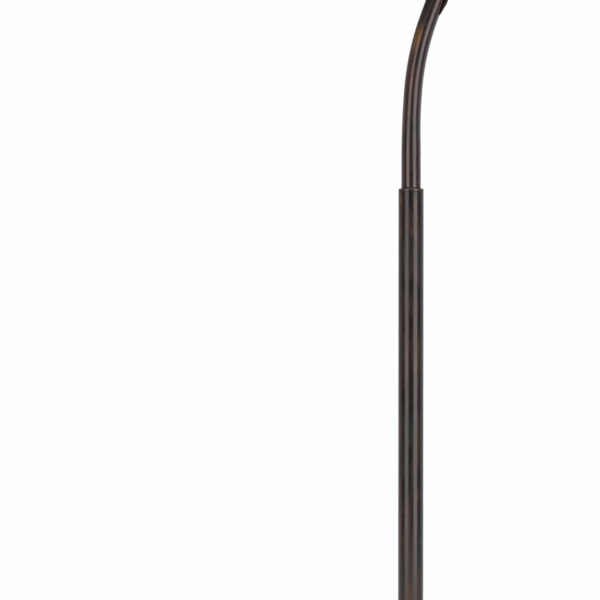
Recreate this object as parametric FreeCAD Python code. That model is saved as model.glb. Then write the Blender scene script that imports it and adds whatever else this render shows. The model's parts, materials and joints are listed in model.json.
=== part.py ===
import FreeCAD, Part
import math
import os

# Bridge floor lamp, in millimetres. +Z is up, the floor is z = 0 and the pole stands on the Z axis.
# The bent arm lies in the plane y = 0: it leans towards +X, then arches over to -X, where the shade hangs.

V = FreeCAD.Vector
UP = V(0, 0, 1)
ALONG_Y = V(0, 1, 0)

# ---------------------------------------------------------------- clearances
FIT = 0.05              # gap round a running or pushed-in round fit
SEAT = 0.05             # gap between flat faces that bear on each other
LOOSE = 0.25            # gap where a piece passes a hole without touching

# ---------------------------------------------------------------- base
PAD_H = 2.0             # felt pad under everything
PAD_INSET = 6.8         # pad's edge inside the cover's wall
PAD_HOLE_R = 24.0       # access to the nut
COVER_WALL = 1.2
COVER_LIFT = 1.0        # the cover's rim stays this far off the floor
COVER_R = 145.0
RIM_Z = 15.0            # top of the cover's rim
RIM_ROUND = 4.0
FLANGE_W = 15.0         # nearly flat flange inside the rounded rim
FLANGE_RISE = 1.0
SWEEP_R = 70.0          # where the hollow sweep meets the step
SWEEP_Z = 24.0
SWEEP_SAG = 1.5         # how far the sweep dips under a straight line
STEP_R = 62.0
STEP_Z = 31.0
STEP_BULGE = 1.6
CROWN_R = 24.0          # flat middle that carries the pole
CROWN_Z = 36.0
CROWN_BULGE = 1.1
WEIGHT_INSET = 9.8      # weight's edge inside the cover's wall
WEIGHT_RIM_Z = 13.5
WEIGHT_HUB_R = 58.0
WEIGHT_HUB_Z = 22.5
WEIGHT_HUB_DRAFT = 6.0  # how far the hub's side slopes
WEIGHT_BOSS_R = 22.0
WEIGHT_BOSS_DRAFT = 3.0
WEIGHT_RECESS_R = 20.0  # pocket for the nut and washer
WEIGHT_RECESS_Z = 12.5
CHANNEL_W = 10.0        # groove for the flex, from the rim to the pocket
CHANNEL_TOP_Z = 11.0
STUD_R = 4.95           # hollow threaded stud
STUD_BORE_R = 3.2
STUD_TAIL = 1.2         # stud below the nut
STUD_GRIP = 12.0        # stud inside the pole's foot plug
BASE_WASHER_R = 15.0
BASE_WASHER_H = 2.0
NUT_AF = 15.0
BASE_NUT_H = 5.0
INLET_Z = 7.0           # centre of the flex inlet in the rim, at the back
INLET_BORE_R = 3.3
INLET_BARREL_R = 4.5
INLET_FLANGE_R = 5.8
INLET_FLANGE_H = 1.6
INLET_DEPTH = 7.0       # barrel behind the flange

# ---------------------------------------------------------------- pole
POLE_R = 13.0
POLE_WALL = 1.2
POLE_TOP_Z = 880.0
POLE_SEAM_Z = 435.0
COUPLER_L = 40.0
COUPLER_BORE_R = 5.0
FOOT_PLUG_H = 14.0
NECK_R = 23.0           # turned collar at the foot of the pole
NECK_FOOT_H = 2.5
NECK_WAIST_R = 15.4
NECK_WAIST_H = 20.0
NECK_BEAD_R = 16.6
NECK_H = 25.0
NECK_SWEEP = 2.6        # how far the collar's side is hollowed
END_RING_H = 3.0        # ring that closes the top of the pole, flush with it
END_RING_ROUND = 1.2
END_RING_SPIGOT = 8.0

# ---------------------------------------------------------------- swivel in the top of the pole
BUSH_H = 22.0
BUSH_GAP = 0.5          # between the end ring's spigot and the upper bush
STUB_L = 98.0           # arm tube below the top of the pole
LOWER_BUSH_RISE = 8.0   # lower bush above the end of the arm tube
SEAT_RING_H = 8.5
SEAT_RING_BORE_R = 5.0
THRUST_H = 1.45
THRUST_GAP = 0.6        # round the thrust washer
STOP_DROP = 51.0        # stop screw and stop rivet below the top of the pole
STOP_SCREW_R = 1.45
STOP_HEAD_R = 2.6
STOP_HEAD_H = 1.2
STOP_TAIL = 2.5         # screw inside the arm tube's wall
RIVET_R = 1.55
RIVET_HEAD_R = 3.0
RIVET_HEAD_H = 1.3
RIVET_GAP = 0.5         # between the rivet's tip and the arm

# ---------------------------------------------------------------- arm
ARM_R = 10.0
ARM_WALL = 1.2
ARM_OVAL = 0.6          # how far bending flattens the tube's radius in the plane of the bend
ARM_ROUND_TOP = 25.0    # round tube above the pole, before it goes oval
ARM_NECK_L = 25.7       # from round to oval, still straight
EASE_R = 632.0          # gentle start of the lean towards +X
EASE_TURN = 4.7
LEAN_R = 285.0
LEAN_TURN = 15.15
LEAN_L = 40.0           # straight stretch at full lean
RISE_R = 810.0          # long bend that brings the arm upright again
HOOK_R = 146.4          # arch over to the shade
HOOK_TURN = 180.0
TAIL_L = 12.0           # from oval to round again
TIP_L = 14.0            # round end, inside the ferrule
ARM_PLUG_FLANGE_H = 2.0
ARM_PLUG_H = 12.0
ARM_PLUG_BORE_R = 4.0
TIP_PLUG_H = 10.0

# ---------------------------------------------------------------- scroll on the arm
STRAP_T = 3.0
STRAP_W = 12.0
STRAP_START = 6.6       # along the leaning stretch
STRAP_POINT = 0.9       # thickness left at the drawn-out tip
STRAP_TAPER = 13.0
STRAP_LEAVE = 22.0      # straight on, after the arm bends away
CURL_R = 60.0           # the curl winds in by arcs, each tighter than the last
CURL_SHRINK = 0.7
CURL_TURN = 70.0
CURL_ARCS = 6
BAND_AT = 33.0          # along the leaning stretch
BAND_H = 7.0
BAND_T = 1.4

# ---------------------------------------------------------------- swivel knuckle
FERRULE_R = 12.6
FERRULE_H = 18.0
FERRULE_FLOOR = 3.0
FERRULE_BEAD = 1.4
PIVOT_DROP = 19.0       # pivot below the end of the arm tube
YOKE_R = 10.0
YOKE_SLOT = 8.4
YOKE_SLOT_RISE = 11.5   # top of the slot above the pivot
YOKE_FLAT_Y = 8.5       # flats for the bolt head and the knob
STEM_R = 4.95
STEM_L = 12.0
STEM_BORE_R = 3.0
TANG_R = 9.3
TANG_T = 7.0
TANG_WEB_W = 15.6
TANG_STEM_R = 7.8
TANG_SHOULDER = 11.5    # top of the round stem below the pivot
TANG_DROP = 26.0        # foot of the stem below the pivot
TANG_SOCKET_L = 12.0    # deep enough for the leads to cross over above the nipple
WIRE_R = 1.9            # way for the two leads past the bolt
WIRE_X = 5.0
WASHER_T = 0.6
WASHER_R = 8.0
BOLT_R = 2.45
BOLT_HEAD_R = 4.6
BOLT_HEAD_H = 3.0
KNOB_WASHER_R = 6.0
KNOB_WASHER_H = 0.9
KNOB_R = 11.0
KNOB_HUB_R = 6.5
KNOB_HUB_H = 3.0
KNOB_H = 9.0
KNOB_FLUTES = 12
KNOB_FLUTE_R = 1.6
KNOB_SKIN = 2.0         # metal left past the end of the bolt
TILT_AXIS_RUN = 7.0     # bolt inside the knob

# ---------------------------------------------------------------- socket
CUP_WALL = 0.9
CUP_TOP_R = 9.0
CUP_R = 21.0
CUP_SHOULDER_DROP = 25.0
CUP_H = 38.0
CUP_BULGE = 2.4
CUP_FLARE = 1.0         # how much wider the mouth is than the shoulder
NIPPLE_L = 22.5
NIPPLE_UP = 8.5         # nipple inside the knuckle's stem
LOCKNUT_AF = 14.0
LOCKNUT_H = 3.0
CAP_GAP = 0.2
CAP_WALL = 0.6
CAP_HUB_R = 7.0
CAP_HUB_H = 7.0
CAP_DOME_DROP = 10.0
CAP_SKIRT_L = 12.0
CAP_BULGE = 2.0
SHELL_R = 16.3
SHELL_WALL = 0.5
SHELL_UP = 6.0          # shell inside the cap's skirt
SHELL_L = 48.0
BEAD_R = 17.9           # shoulder that the shade ring seats on
BEAD_H = 1.6
BEAD_DROP = 32.0        # below the top of the shell
INSULATOR_T = 0.4
INSULATOR_L = 43.0
BODY_L = 22.0           # moulded body with the switch
SCREW_SHELL_R = 13.65
SCREW_SHELL_WALL = 0.4
SCREW_SHELL_L = 22.0
CONTACT_R = 4.0
CONTACT_H = 1.2
SWITCH_DROP = 17.0      # switch shaft below the top of the moulded body
SWITCH_R = 2.0
SWITCH_REACH = 36.0     # outer end of the switch knob from the socket's axis
SWITCH_KNOB_R = 5.0
SWITCH_KNOB_L = 13.0
SWITCH_ROOT = 9.0       # inner end of the shaft from the socket's axis
SWITCH_FLUTES = 10
SWITCH_FLUTE_R = 0.8

# ---------------------------------------------------------------- bulb
BULB_CAP_R = 13.0
BULB_CAP_L = 21.0
BULB_CAP_WALL = 0.4
BULB_CONE_H = 3.5
BULB_CONE_R = 6.0       # top of the cone that carries the contact
BULB_TIP_R = 4.0
BULB_TIP_H = 1.4
BULB_TIP_GAP = 0.1
BULB_NECK_R = 12.4
BULB_R = 30.0
BULB_L = 100.0          # glass below the cap
BULB_NECK_SAG = 3.0     # how far the neck is hollowed
BULB_GLASS = 0.9
BULB_GRIP = 8.0         # glass inside the cap

# ---------------------------------------------------------------- shade
SHADE_TOP_R = 100.0
SHADE_BOTTOM_R = 165.0
SHADE_TOP_DROP = 13.6   # top edge below the pivot
SHADE_H = 215.0
COVER_T = 0.6           # fabric, measured level
LINER_T = 0.5
BOND_GAP = 0.3          # between the layers of the shade, where the glue is
SHADE_WIRE_R = 1.5
WIRE_INSET = 2.2        # wire centre from the edge
SPOKE_R = 1.4
SPOKES = 3
SPOKE_TURN = 90.0
FITTER_R = 22.0         # flat ring that the ring nut clamps
FITTER_H = 1.6
RING_NUT_R = 22.5
RING_NUT_H = 8.0
RING_NUT_FLUTES = 28
RING_NUT_FLUTE_R = 0.8
TRIM_W = 9.0
TRIM_T = 0.5


# ================================================================ drawing helpers
def outline(points):
    """Closed face in the plane y = 0, from (x, z) points. Four numbers are an arc, its middle and its end."""
    return Part.Face(Part.Wire(chain(points + [points[0][-2:]])))


def chain(points):
    """Edges from point to point, in the plane y = 0."""
    edges = []
    here = V(points[0][-2], 0, points[0][-1])
    for step in points[1:]:
        there = V(step[-2], 0, step[-1])
        if len(step) == 4:
            edges.append(Part.Arc(here, V(step[0], 0, step[1]), there).toShape())
        else:
            edges.append(Part.LineSegment(here, there).toShape())
        here = there
    return edges


def bulged(start, end, bulge):
    """Arc from one (x, z) to another that stands off its chord by bulge, to the left of the way it runs."""
    dx, dz = end[0] - start[0], end[1] - start[1]
    long = math.hypot(dx, dz)
    mid = ((start[0] + end[0]) / 2 - dz / long * bulge, (start[1] + end[1]) / 2 + dx / long * bulge)
    return (*mid, *end)


def rounded(corner, before, after):
    """Quarter-round arc at a corner, from before to after."""
    share = 1 - math.sqrt(0.5)
    x = corner[0] + (before[0] + after[0] - 2 * corner[0]) * share
    z = corner[1] + (before[1] + after[1] - 2 * corner[1]) * share
    return (x, z, *after)


def turned(face, x=0.0):
    """A face drawn about r = 0, turned round the vertical line at x."""
    solid = face.revolve(V(0, 0, 0), UP, 360)
    solid.translate(V(x, 0, 0))
    return solid


def lathe(points, x=0.0):
    return turned(outline(points), x)


def spun(points, wall, x=0.0):
    """Sheet of even thickness turned from an open profile. It lies to the left of the profile's way."""
    wire = Part.Wire(chain(points))
    return turned(wire.makeOffset2D(wall, 0, True, True), x)


def tube(outer, inner, low, high, x=0.0):
    body = Part.makeCylinder(outer, high - low, V(x, 0, low))
    return body.cut(Part.makeCylinder(inner, high - low, V(x, 0, low)))


def rod_y(radius, start, end, x, z):
    """Round rod along Y, from start to end."""
    return Part.makeCylinder(radius, end - start, V(x, start, z), ALONG_Y)


def rod_between(radius, start, end):
    return Part.makeCylinder(radius, (end - start).Length, start, end - start)


def hexagon(across, low, high, x=0.0):
    corner = across / math.sqrt(3)
    points = [V(x + corner * math.cos(math.radians(60 * k)), corner * math.sin(math.radians(60 * k)), low)
              for k in range(7)]
    return Part.Face(Part.makePolygon(points)).extrude(V(0, 0, high - low))


def fluted(body, count, ring_r, flute_r, start, length, axis):
    """Cuts round grooves along axis, evenly spaced about it."""
    side = V(1, 0, 0)
    for k in range(count):
        spoke = FreeCAD.Rotation(axis, 360 * k / count).multVec(side)
        body = body.cut(Part.makeCylinder(flute_r, length, start + spoke * ring_r, axis))
    return body


def save(nodes):
    os.makedirs("parts", exist_ok=True)
    for name, shape in nodes.items():
        shape.exportStep("parts/" + name + ".step")


# ================================================================ path of the arm
def ahead(lean):
    """Direction of travel at a lean from the vertical towards +X, in degrees."""
    return V(math.sin(math.radians(lean)), 0, math.cos(math.radians(lean)))


def right(lean):
    return V(math.cos(math.radians(lean)), 0, -math.sin(math.radians(lean)))


def straight(place, length):
    """Edge straight on from a (point, lean), and the place where it ends."""
    point, lean = place
    end = point + ahead(lean) * length
    return Part.LineSegment(point, end).toShape(), (end, lean)


def bend(place, radius, turn):
    """Arc on from a (point, lean). A positive turn goes towards the right of the way it runs."""
    point, lean = place
    side = math.copysign(radius, turn)
    centre = point + right(lean) * side
    middle = centre - right(lean + turn / 2) * side
    end = centre - right(lean + turn) * side
    return Part.Arc(point, middle, end).toShape(), (end, lean + turn)


def arm_route():
    """Places along the arm's axis, by name, and the edges of its oval stretch."""
    place = (V(0, 0, POLE_TOP_Z + ARM_ROUND_TOP + ARM_NECK_L), 0.0)
    route = {"oval_start": place}
    edges = []
    for radius, turn in ((EASE_R, EASE_TURN), (LEAN_R, LEAN_TURN)):
        edge, place = bend(place, radius, turn)
        edges.append(edge)
    route["lean_start"] = place
    edge, place = straight(place, LEAN_L)
    edges.append(edge)
    route["lean_end"] = place
    edge, place = bend(place, RISE_R, -place[1])
    edges.append(edge)
    edge, place = bend(place, HOOK_R, -HOOK_TURN)
    edges.append(edge)
    route["oval_end"] = place
    return route, edges


ROUTE, OVAL_EDGES = arm_route()
HEAD_X = ROUTE["oval_end"][0].x
ARM_END_Z = ROUTE["oval_end"][0].z - TAIL_L - TIP_L
PIVOT_Z = ARM_END_Z - PIVOT_DROP
STUB_Z = POLE_TOP_Z - STUB_L
STOP_Z = POLE_TOP_Z - STOP_DROP

# heights of the head, downwards from the pivot
CUP_Z = PIVOT_Z - TANG_DROP
CAP_Z = CUP_Z - CUP_WALL - LOCKNUT_H - CAP_GAP
CAP_DOME_Z = CAP_Z - CAP_HUB_H
CAP_SKIRT_Z = CAP_DOME_Z - CAP_DOME_DROP
CAP_FOOT_Z = CAP_SKIRT_Z - CAP_SKIRT_L
SHELL_Z = CAP_FOOT_Z + SHELL_UP
BEAD_Z = SHELL_Z - BEAD_DROP
BODY_Z = SHELL_Z - CAP_GAP
SWITCH_Z = BODY_Z - SWITCH_DROP
BODY_FOOT_Z = BODY_Z - BODY_L
BULB_TIP_Z = BODY_FOOT_Z - CONTACT_H - BULB_TIP_GAP
BULB_CAP_FOOT_Z = BULB_TIP_Z - BULB_TIP_H - BULB_CONE_H - BULB_CAP_L
SHADE_Z = PIVOT_Z - SHADE_TOP_DROP
SHADE_FOOT_Z = SHADE_Z - SHADE_H


# ================================================================ base
def base():
    rim_low = (COVER_R, COVER_LIFT)
    rim_high = (COVER_R, RIM_Z - RIM_ROUND)
    flange_out = (COVER_R - RIM_ROUND, RIM_Z)
    flange_in = (COVER_R - RIM_ROUND - FLANGE_W, RIM_Z + FLANGE_RISE)
    sweep = (SWEEP_R, SWEEP_Z)
    step = (STEP_R, STEP_Z)
    crown = (CROWN_R, CROWN_Z)
    hole_r = STUD_R + FIT
    cover = spun([rim_low, rim_high, rounded((COVER_R, RIM_Z), rim_high, flange_out), flange_in,
                  bulged(flange_in, sweep, SWEEP_SAG), bulged(sweep, step, -STEP_BULGE),
                  bulged(step, crown, -CROWN_BULGE), (hole_r, CROWN_Z)], COVER_WALL)
    cover = cover.cut(rod_y(INLET_BARREL_R + FIT, 0, COVER_R, 0, INLET_Z))

    boss_z = CROWN_Z - COVER_WALL - SEAT
    weight_r = COVER_R - COVER_WALL - WEIGHT_INSET
    hub_foot = (WEIGHT_HUB_R + WEIGHT_HUB_DRAFT, WEIGHT_RIM_Z)
    boss_foot = (WEIGHT_BOSS_R + WEIGHT_BOSS_DRAFT, WEIGHT_HUB_Z)
    weight = lathe([(hole_r, WEIGHT_RECESS_Z), (WEIGHT_RECESS_R, WEIGHT_RECESS_Z), (WEIGHT_RECESS_R, PAD_H),
                    (weight_r, PAD_H), (weight_r, WEIGHT_RIM_Z), hub_foot, (WEIGHT_HUB_R, WEIGHT_HUB_Z),
                    boss_foot, (WEIGHT_BOSS_R, boss_z), (hole_r, boss_z)])
    channel = Part.makeBox(CHANNEL_W, weight_r, CHANNEL_TOP_Z - PAD_H, V(-CHANNEL_W / 2, 0, PAD_H))
    weight = weight.cut(channel)

    washer_z = WEIGHT_RECESS_Z - BASE_WASHER_H
    nut_z = washer_z - BASE_NUT_H
    stud_foot = nut_z - STUD_TAIL
    nut = hexagon(NUT_AF, nut_z, washer_z).cut(Part.makeCylinder(hole_r, BASE_NUT_H, V(0, 0, nut_z)))
    barrel_in = COVER_R - INLET_DEPTH
    inlet = rod_y(INLET_BARREL_R, barrel_in, COVER_R, 0, INLET_Z)
    inlet = inlet.fuse(rod_y(INLET_FLANGE_R, COVER_R, COVER_R + INLET_FLANGE_H, 0, INLET_Z))
    inlet = inlet.cut(rod_y(INLET_BORE_R, barrel_in, COVER_R + INLET_FLANGE_H, 0, INLET_Z))
    return {
        "base_pad": tube(COVER_R - COVER_WALL - PAD_INSET, PAD_HOLE_R, 0, PAD_H),
        "base_cover": cover,
        "base_weight": weight,
        "base_stud": tube(STUD_R, STUD_BORE_R, stud_foot, CROWN_Z + STUD_GRIP),
        "base_washer": tube(BASE_WASHER_R, hole_r, washer_z, WEIGHT_RECESS_Z),
        "base_nut": nut,
        "flex_inlet_bush": inlet,
    }


# ================================================================ pole
def pole():
    bore = POLE_R - POLE_WALL
    inside = bore - FIT
    neck_bore = POLE_R + FIT
    foot = (NECK_R, CROWN_Z + NECK_FOOT_H)
    waist = (NECK_WAIST_R, CROWN_Z + NECK_WAIST_H)
    top = CROWN_Z + NECK_H
    bead_side = (NECK_BEAD_R, (waist[1] + top) / 2)
    bead_top = (NECK_WAIST_R, top)
    neck = lathe([(neck_bore, CROWN_Z), (NECK_R, CROWN_Z), foot, bulged(foot, waist, NECK_SWEEP),
                  (*bead_side, *bead_top), (neck_bore, top)])
    ring_z = POLE_TOP_Z - END_RING_H
    arm_hole = ARM_R + LOOSE
    shoulder = (POLE_R, POLE_TOP_Z - END_RING_ROUND)
    lip = (POLE_R - END_RING_ROUND, POLE_TOP_Z)
    spigot_z = ring_z - END_RING_SPIGOT
    ring = lathe([(arm_hole, spigot_z), (inside, spigot_z), (inside, ring_z), (POLE_R, ring_z), shoulder,
                  rounded((POLE_R, POLE_TOP_Z), shoulder, lip), (arm_hole, POLE_TOP_Z)])
    upper = tube(POLE_R, bore, POLE_SEAM_Z, ring_z)
    upper = upper.cut(rod_y(RIVET_R + FIT, 0, POLE_R, 0, STOP_Z))
    half = COUPLER_L / 2
    return {
        "neck_collar": neck,
        "pole_foot_plug": tube(inside, STUD_R + FIT, CROWN_Z, CROWN_Z + FOOT_PLUG_H),
        "pole_lower": tube(POLE_R, bore, CROWN_Z, POLE_SEAM_Z),
        "pole_coupler": tube(inside, COUPLER_BORE_R, POLE_SEAM_Z - half, POLE_SEAM_Z + half),
        "pole_upper": upper,
        "pole_end_ring": ring,
    }


# ================================================================ swivel
def swivel():
    outside = POLE_R - POLE_WALL - FIT
    hole = ARM_R + FIT
    upper_z = POLE_TOP_Z - END_RING_H - END_RING_SPIGOT - BUSH_GAP
    lower_z = STUB_Z + LOWER_BUSH_RISE
    thrust_z = STUB_Z - ARM_PLUG_FLANGE_H - SEAT
    seat_z = thrust_z - THRUST_H
    rivet = rod_y(RIVET_R, ARM_R + RIVET_GAP, POLE_R, 0, STOP_Z)
    head = rod_y(RIVET_HEAD_R, POLE_R, POLE_R + RIVET_HEAD_H, 0, STOP_Z)
    return {
        "swivel_bush_upper": tube(outside, hole, upper_z - BUSH_H, upper_z),
        "swivel_bush_lower": tube(outside, hole, lower_z, lower_z + BUSH_H),
        "swivel_thrust_washer": tube(outside - THRUST_GAP, SEAT_RING_BORE_R, seat_z, thrust_z),
        "swivel_seat_ring": tube(outside, SEAT_RING_BORE_R, seat_z - SEAT_RING_H, seat_z),
        "swivel_stop_rivet": rivet.fuse(head),
    }


# ================================================================ arm
def section(radius, oval, place):
    """Closed wire of the arm's section at a place on its axis, flattened in the plane of the bend."""
    point, lean = place
    if oval:
        edge = Part.Ellipse(V(0, 0, 0), radius + ARM_OVAL, radius - ARM_OVAL).toShape()
    else:
        edge = Part.Circle(V(0, 0, 0), UP, radius).toShape()
    wire = Part.Wire([edge])
    wire.rotate(V(0, 0, 0), UP, 90)
    wire.rotate(V(0, 0, 0), ALONG_Y, lean)
    wire.translate(point)
    return wire


def arm_core(radius):
    """Solid of the arm at one radius: round foot, oval bends, round tip."""
    start, end = ROUTE["oval_start"], ROUTE["oval_end"]
    neck_z = POLE_TOP_Z + ARM_ROUND_TOP
    tail_z = end[0].z - TAIL_L
    foot = Part.makeCylinder(radius, neck_z - STUB_Z, V(0, 0, STUB_Z))
    neck = Part.makeLoft([section(radius, False, (V(0, 0, neck_z), 0.0)),
                          section(radius, True, start)], True, True)
    bends = Part.Wire(OVAL_EDGES).makePipeShell([section(radius, True, start)], True, False)
    tail = Part.makeLoft([section(radius, True, (end[0], 0.0)),
                          section(radius, False, (V(HEAD_X, 0, tail_z), 0.0))], True, True)
    tip = Part.makeCylinder(radius, TIP_L, V(HEAD_X, 0, ARM_END_Z))
    return foot.fuse([neck, bends, tail, tip])


def arm():
    bore = ARM_R - ARM_WALL
    tube_solid = arm_core(ARM_R).cut(arm_core(bore))
    tube_solid = tube_solid.cut(rod_y(STOP_SCREW_R + FIT, -ARM_R, 0, 0, STOP_Z))
    plug_r = bore - FIT
    foot_plug = tube(ARM_R - FIT, ARM_PLUG_BORE_R, STUB_Z - ARM_PLUG_FLANGE_H, STUB_Z)
    foot_plug = foot_plug.fuse(tube(plug_r, ARM_PLUG_BORE_R, STUB_Z, STUB_Z + ARM_PLUG_H))
    screw = rod_y(STOP_SCREW_R, -ARM_R, -bore + STOP_TAIL, 0, STOP_Z)
    head = rod_y(STOP_HEAD_R, -ARM_R - STOP_HEAD_H, -ARM_R, 0, STOP_Z)
    return {
        "arm_tube": tube_solid,
        "arm_foot_plug": foot_plug,
        "arm_stop_screw": screw.fuse(head),
        "arm_tip_plug": tube(plug_r, STEM_R + FIT, ARM_END_Z, ARM_END_Z + TIP_PLUG_H, HEAD_X),
    }


# ================================================================ scroll
def scroll():
    """Flat bar, drawn out to a point, that follows the arm's lean and curls away, with its band."""
    point, lean = ROUTE["lean_start"]
    face_off = ARM_R - ARM_OVAL + FIT
    start = point + ahead(lean) * STRAP_START + right(lean) * face_off
    edge, place = straight((start, lean), LEAN_L - STRAP_START + STRAP_LEAVE)
    edges = [edge]
    for k in range(CURL_ARCS):
        edge, place = bend(place, CURL_R * CURL_SHRINK ** k, CURL_TURN)
        edges.append(edge)
    face = Part.Wire(edges).makeOffset2D(-STRAP_T, 0, True, True)
    strap = face.extrude(V(0, STRAP_W, 0))
    strap.translate(V(0, -STRAP_W / 2, 0))
    outer = start + right(lean) * STRAP_T
    wedge = Part.makePolygon([start + right(lean) * STRAP_POINT, outer + ahead(lean) * STRAP_TAPER,
                              outer + right(lean) * STRAP_T, outer - ahead(lean) * STRAP_T,
                              start + right(lean) * STRAP_POINT])
    wedge = Part.Face(wedge).extrude(V(0, STRAP_W, 0))
    wedge.translate(V(0, -STRAP_W / 2, 0))
    return {"arm_scroll": strap.cut(wedge), "arm_scroll_band": scroll_band()}


def scroll_band():
    """Band bent round the arm and the flat bar, drawn flat about the arm's axis and then set square to it."""
    point, lean = ROUTE["lean_start"]
    narrow, wide = ARM_R - ARM_OVAL, ARM_R + ARM_OVAL
    reach = narrow + FIT + STRAP_T

    def loop(gap):
        half = STRAP_W / 2 + gap
        far = reach + gap
        oval = Part.Ellipse(V(0, 0, 0), wide + gap, narrow + gap).toShape()
        oval.rotate(V(0, 0, 0), UP, 90)
        oval = Part.Face(Part.Wire([oval])).extrude(V(0, 0, BAND_H))
        foot = V(0, -wide - gap, 0)
        block = Part.makePolygon([foot, V(far, -half, 0), V(far, half, 0), V(0, wide + gap, 0), foot])
        return oval.fuse(Part.Face(block).extrude(V(0, 0, BAND_H)))

    band = loop(FIT + BAND_T).cut(loop(FIT))
    band.rotate(V(0, 0, 0), ALONG_Y, lean)
    band.translate(point + ahead(lean) * (BAND_AT - BAND_H / 2))
    return band


# ================================================================ knuckle
def knuckle():
    floor_z = ARM_END_Z - FERRULE_FLOOR
    hole = STEM_R + FIT
    top = floor_z + FERRULE_H
    tube_hole = ARM_R + FIT
    low = (FERRULE_R - FERRULE_BEAD, floor_z)
    side = (FERRULE_R, floor_z + FERRULE_BEAD)
    neck = (FERRULE_R, top - 2 * FERRULE_BEAD)
    lip = (tube_hole + FERRULE_BEAD, top)
    ferrule = lathe([(hole, floor_z), low, rounded((FERRULE_R, floor_z), low, side), neck,
                     bulged(neck, lip, -FERRULE_BEAD / 2), (tube_hole, top), (tube_hole, ARM_END_Z),
                     (hole, ARM_END_Z)], HEAD_X)

    yoke = Part.makeCylinder(YOKE_R, floor_z - PIVOT_Z, V(HEAD_X, 0, PIVOT_Z))
    ball = Part.makeCylinder(YOKE_R, YOKE_R, V(HEAD_X, 0, PIVOT_Z - YOKE_R))
    yoke = yoke.fuse(ball.common(rod_y(YOKE_R, -YOKE_R, YOKE_R, HEAD_X, PIVOT_Z)))
    slot_z = PIVOT_Z + YOKE_SLOT_RISE
    slot = Part.makeBox(2 * YOKE_R, YOKE_SLOT, 2 * YOKE_R + YOKE_SLOT_RISE,
                        V(HEAD_X - YOKE_R, -YOKE_SLOT / 2, slot_z - 2 * YOKE_R - YOKE_SLOT_RISE))
    yoke = yoke.cut(slot)
    for side_y in (-YOKE_R, YOKE_FLAT_Y):
        corner = V(HEAD_X - YOKE_R, side_y, PIVOT_Z - YOKE_R)
        flat = Part.makeBox(2 * YOKE_R, YOKE_R - YOKE_FLAT_Y, 2 * YOKE_R, corner)
        yoke = yoke.cut(flat)
    yoke = yoke.fuse(Part.makeCylinder(STEM_R, STEM_L, V(HEAD_X, 0, floor_z)))
    yoke = yoke.cut(Part.makeCylinder(STEM_BORE_R, STEM_L + YOKE_R, V(HEAD_X, 0, slot_z - SEAT)))
    yoke = yoke.cut(rod_y(BOLT_R + FIT, -YOKE_R, YOKE_R, HEAD_X, PIVOT_Z))

    half = TANG_T / 2
    tang = rod_y(TANG_R, -half, half, HEAD_X, PIVOT_Z)
    web_corner = V(HEAD_X - TANG_WEB_W / 2, -half, PIVOT_Z - TANG_SHOULDER)
    tang = tang.fuse(Part.makeBox(TANG_WEB_W, TANG_T, TANG_SHOULDER, web_corner))
    tang = tang.fuse(Part.makeCylinder(TANG_STEM_R, TANG_DROP - TANG_SHOULDER, V(HEAD_X, 0, CUP_Z)))
    tang = tang.cut(Part.makeCylinder(hole, TANG_SOCKET_L, V(HEAD_X, 0, CUP_Z)))
    wire_z = CUP_Z + TANG_SOCKET_L - 2 * WIRE_R
    tang = tang.cut(Part.makeCylinder(WIRE_R, PIVOT_Z + TANG_R - wire_z, V(HEAD_X + WIRE_X, 0, wire_z)))
    tang = tang.cut(rod_y(BOLT_R + FIT, -half, half, HEAD_X, PIVOT_Z))

    washers = []
    for start in (half + SEAT, -half - SEAT - WASHER_T):
        disc = rod_y(WASHER_R, start, start + WASHER_T, HEAD_X, PIVOT_Z)
        washers.append(disc.cut(rod_y(BOLT_R + FIT, start, start + WASHER_T, HEAD_X, PIVOT_Z)))

    knob_back = -YOKE_FLAT_Y - KNOB_WASHER_H - SEAT
    knob_face = knob_back - KNOB_HUB_H - KNOB_H
    bolt_tip = knob_back - TILT_AXIS_RUN
    bolt = rod_y(BOLT_R, bolt_tip, YOKE_FLAT_Y, HEAD_X, PIVOT_Z)
    bolt = bolt.fuse(rod_y(BOLT_HEAD_R, YOKE_FLAT_Y, YOKE_FLAT_Y + BOLT_HEAD_H, HEAD_X, PIVOT_Z))
    knob_washer = rod_y(KNOB_WASHER_R, -YOKE_FLAT_Y - KNOB_WASHER_H, -YOKE_FLAT_Y, HEAD_X, PIVOT_Z)
    knob_washer = knob_washer.cut(rod_y(BOLT_R + FIT, -YOKE_R, -YOKE_FLAT_Y, HEAD_X, PIVOT_Z))
    knob = rod_y(KNOB_HUB_R, knob_back - KNOB_HUB_H, knob_back, HEAD_X, PIVOT_Z)
    knob = knob.fuse(rod_y(KNOB_R, knob_face, knob_back - KNOB_HUB_H, HEAD_X, PIVOT_Z))
    knob = knob.cut(rod_y(BOLT_R + FIT, bolt_tip - SEAT, knob_back, HEAD_X, PIVOT_Z))
    knob = fluted(knob, KNOB_FLUTES, KNOB_R, KNOB_FLUTE_R, V(HEAD_X, knob_face, PIVOT_Z), KNOB_H, ALONG_Y)
    return {
        "arm_ferrule": ferrule,
        "knuckle_yoke": yoke,
        "knuckle_tang": tang,
        "knuckle_friction_washers": Part.makeCompound(washers),
        "knuckle_bolt": bolt,
        "knuckle_knob_washer": knob_washer,
        "tilt_knob": knob,
    }


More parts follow.
